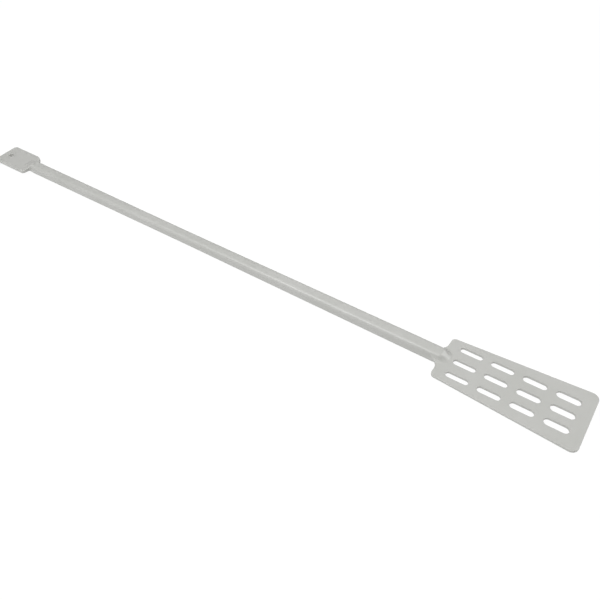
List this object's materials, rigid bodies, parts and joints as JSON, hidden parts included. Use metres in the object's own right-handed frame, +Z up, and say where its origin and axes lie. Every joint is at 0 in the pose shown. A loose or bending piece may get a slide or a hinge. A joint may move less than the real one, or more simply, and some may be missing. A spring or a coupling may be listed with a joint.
{
  "type": "stirring paddle",
  "caption": "Long one-piece hand stirring paddle: slim rounded-square shaft, flat widening blade with through slots, and a flat hang tab with a hole.",
  "frame": {"origin": "centre of the paddle's plan, on the surface that it lies on", "axes": "+X from the hang tab to the blade's tip, +Z up out of the blade's flat face, +Y across the blade"},
  "size_m": [0.711, 0.0626, 0.0125],
  "materials": {
    "plastic": "satin, faint moulded mottle"
  },
  "bodies": {
    "root": {"hang_tab": "plastic", "grip": "plastic", "shaft": "plastic", "neck": "plastic", "blade": "plastic"}
  },
  "joints": []
}
